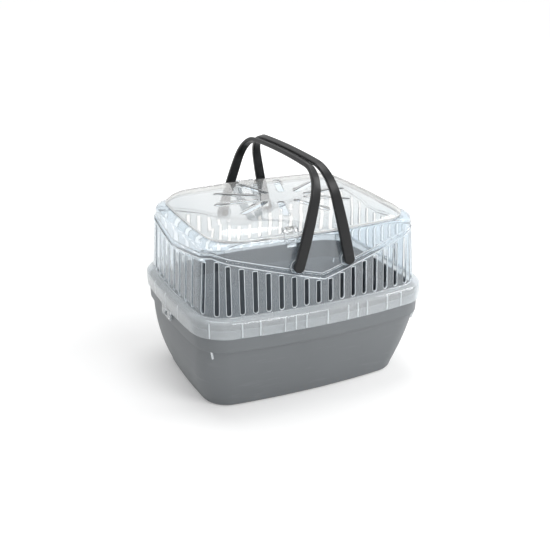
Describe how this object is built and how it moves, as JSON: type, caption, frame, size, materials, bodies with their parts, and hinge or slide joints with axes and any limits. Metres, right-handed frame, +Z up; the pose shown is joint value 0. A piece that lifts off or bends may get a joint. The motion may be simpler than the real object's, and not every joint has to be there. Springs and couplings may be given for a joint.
{
  "type": "pet carrier",
  "caption": "Plastic small-animal carrier: tapered grey tray, slotted clear cage, hinged roof lid with vents and a clip, and folding strap handles.",
  "frame": {"origin": "on the floor, under the middle of the tray", "axes": "+X along the long side to the right, -Y is the front with the latch, +Z up"},
  "size_m": [0.2984, 0.2444, 0.2772],
  "materials": {
    "base_tray": "satin",
    "cage_top": "gloss",
    "roof_lid": "gloss",
    "lid_latch": "gloss",
    "left_handle": "satin",
    "right_handle": "satin"
  },
  "bodies": {
    "base": {"base_tray": "base_tray", "cage_top": "cage_top"},
    "lid": {"roof_lid": "roof_lid"},
    "latch": {"lid_latch": "lid_latch"},
    "left_handle": {"left_handle": "left_handle"},
    "right_handle": {"right_handle": "right_handle"}
  },
  "joints": [
    {"name": "lid_hinge", "type": "hinge", "parent": "base", "child": "lid", "pos_m": [0, 0.1079, 0.2066], "axis": [-1, 0, 0], "range_deg": [0, 9]},
    {"name": "latch_hinge", "type": "hinge", "parent": "lid", "child": "latch", "pos_m": [-0.038, -0.09947, 0.21196], "axis": [-1, 0, 0], "range_deg": [0, 75]},
    {"name": "left_handle_pivot", "type": "hinge", "parent": "base", "child": "left_handle", "pos_m": [-0.031, 0, 0.17], "axis": [0, 1, 0], "range_deg": [-82, 0]},
    {"name": "right_handle_pivot", "type": "hinge", "parent": "base", "child": "right_handle", "pos_m": [0.031, 0, 0.17], "axis": [0, 1, 0], "range_deg": [0, 77]}
  ]
}
